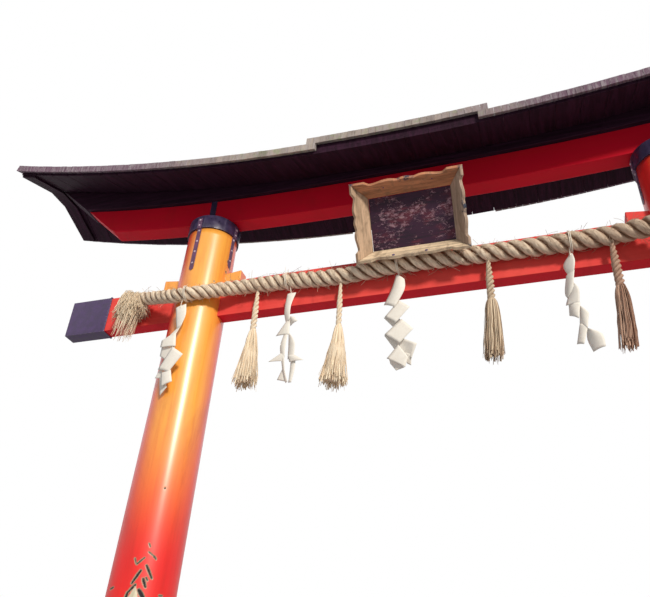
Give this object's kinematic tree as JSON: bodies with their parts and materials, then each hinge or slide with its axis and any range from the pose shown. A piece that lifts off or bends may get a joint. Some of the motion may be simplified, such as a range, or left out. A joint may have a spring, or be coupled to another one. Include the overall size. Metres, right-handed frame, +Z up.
{
  "type": "torii gate",
  "caption": "Vermilion timber torii gate with leaning round pillars, a straight tie beam, an upswept lintel and board roof, a leaning plaque and a straw rope with tassels and paper streamers.",
  "frame": {"origin": "on the ground, midway between the two pillars and under the middle of the roof's depth", "axes": "+X along the beams to the right of someone facing the front, -Y out of the front, where the plaque and rope hang, +Z up"},
  "size_m": [5.85, 0.86, 5.2812],
  "materials": {
    "vermilion_wood": "oil paint, satin",
    "black_wood": "black paint, matt",
    "black_metal": "black sheet metal, worn",
    "roof_boards": "weathered grey boards",
    "bare_wood": "weathered bare wood",
    "plaque_board": "weathered dark paint",
    "straw": "rice straw",
    "paper": "matt white paper",
    "stone": "dressed granite"
  },
  "bodies": {
    "root": {"base_stone_left": "stone", "base_stone_right": "stone", "foot_wrap_left": "black_metal", "foot_wrap_right": "black_metal", "pillar_left": "vermilion_wood", "pillar_right": "vermilion_wood", "pillar_ring_left": "black_metal", "pillar_ring_right": "black_metal", "ring_straps_left": "black_metal", "ring_straps_right": "black_metal", "tie_beam": "vermilion_wood", "tie_cap_left": "black_metal", "tie_cap_right": "black_metal", "wedges_left": "vermilion_wood", "wedges_right": "vermilion_wood", "strut": "vermilion_wood", "lintel": "vermilion_wood", "lintel_straps": "black_metal", "top_beam": "black_wood", "eave_boards": "black_wood", "verge_board_left": "black_wood", "verge_board_right": "black_wood", "roof_packing": "black_wood", "roof_left": "roof_boards", "roof_middle": "roof_boards", "roof_right": "roof_boards", "ridge_cap": "roof_boards", "plaque_panel": "plaque_board", "plaque_frame_top": "bare_wood", "plaque_frame_bottom": "bare_wood", "plaque_frame_left": "bare_wood", "plaque_frame_right": "bare_wood", "plaque_hooks": "black_metal", "rope": "straw", "rope_tuft_left": "straw", "rope_tuft_right": "straw", "tassel_1": "straw", "tassel_2": "straw", "tassel_3": "straw", "tassel_4": "straw", "shide_1": "paper", "shide_2": "paper", "shide_3": "paper", "shide_4": "paper", "shide_5": "paper"}
  },
  "joints": []
}
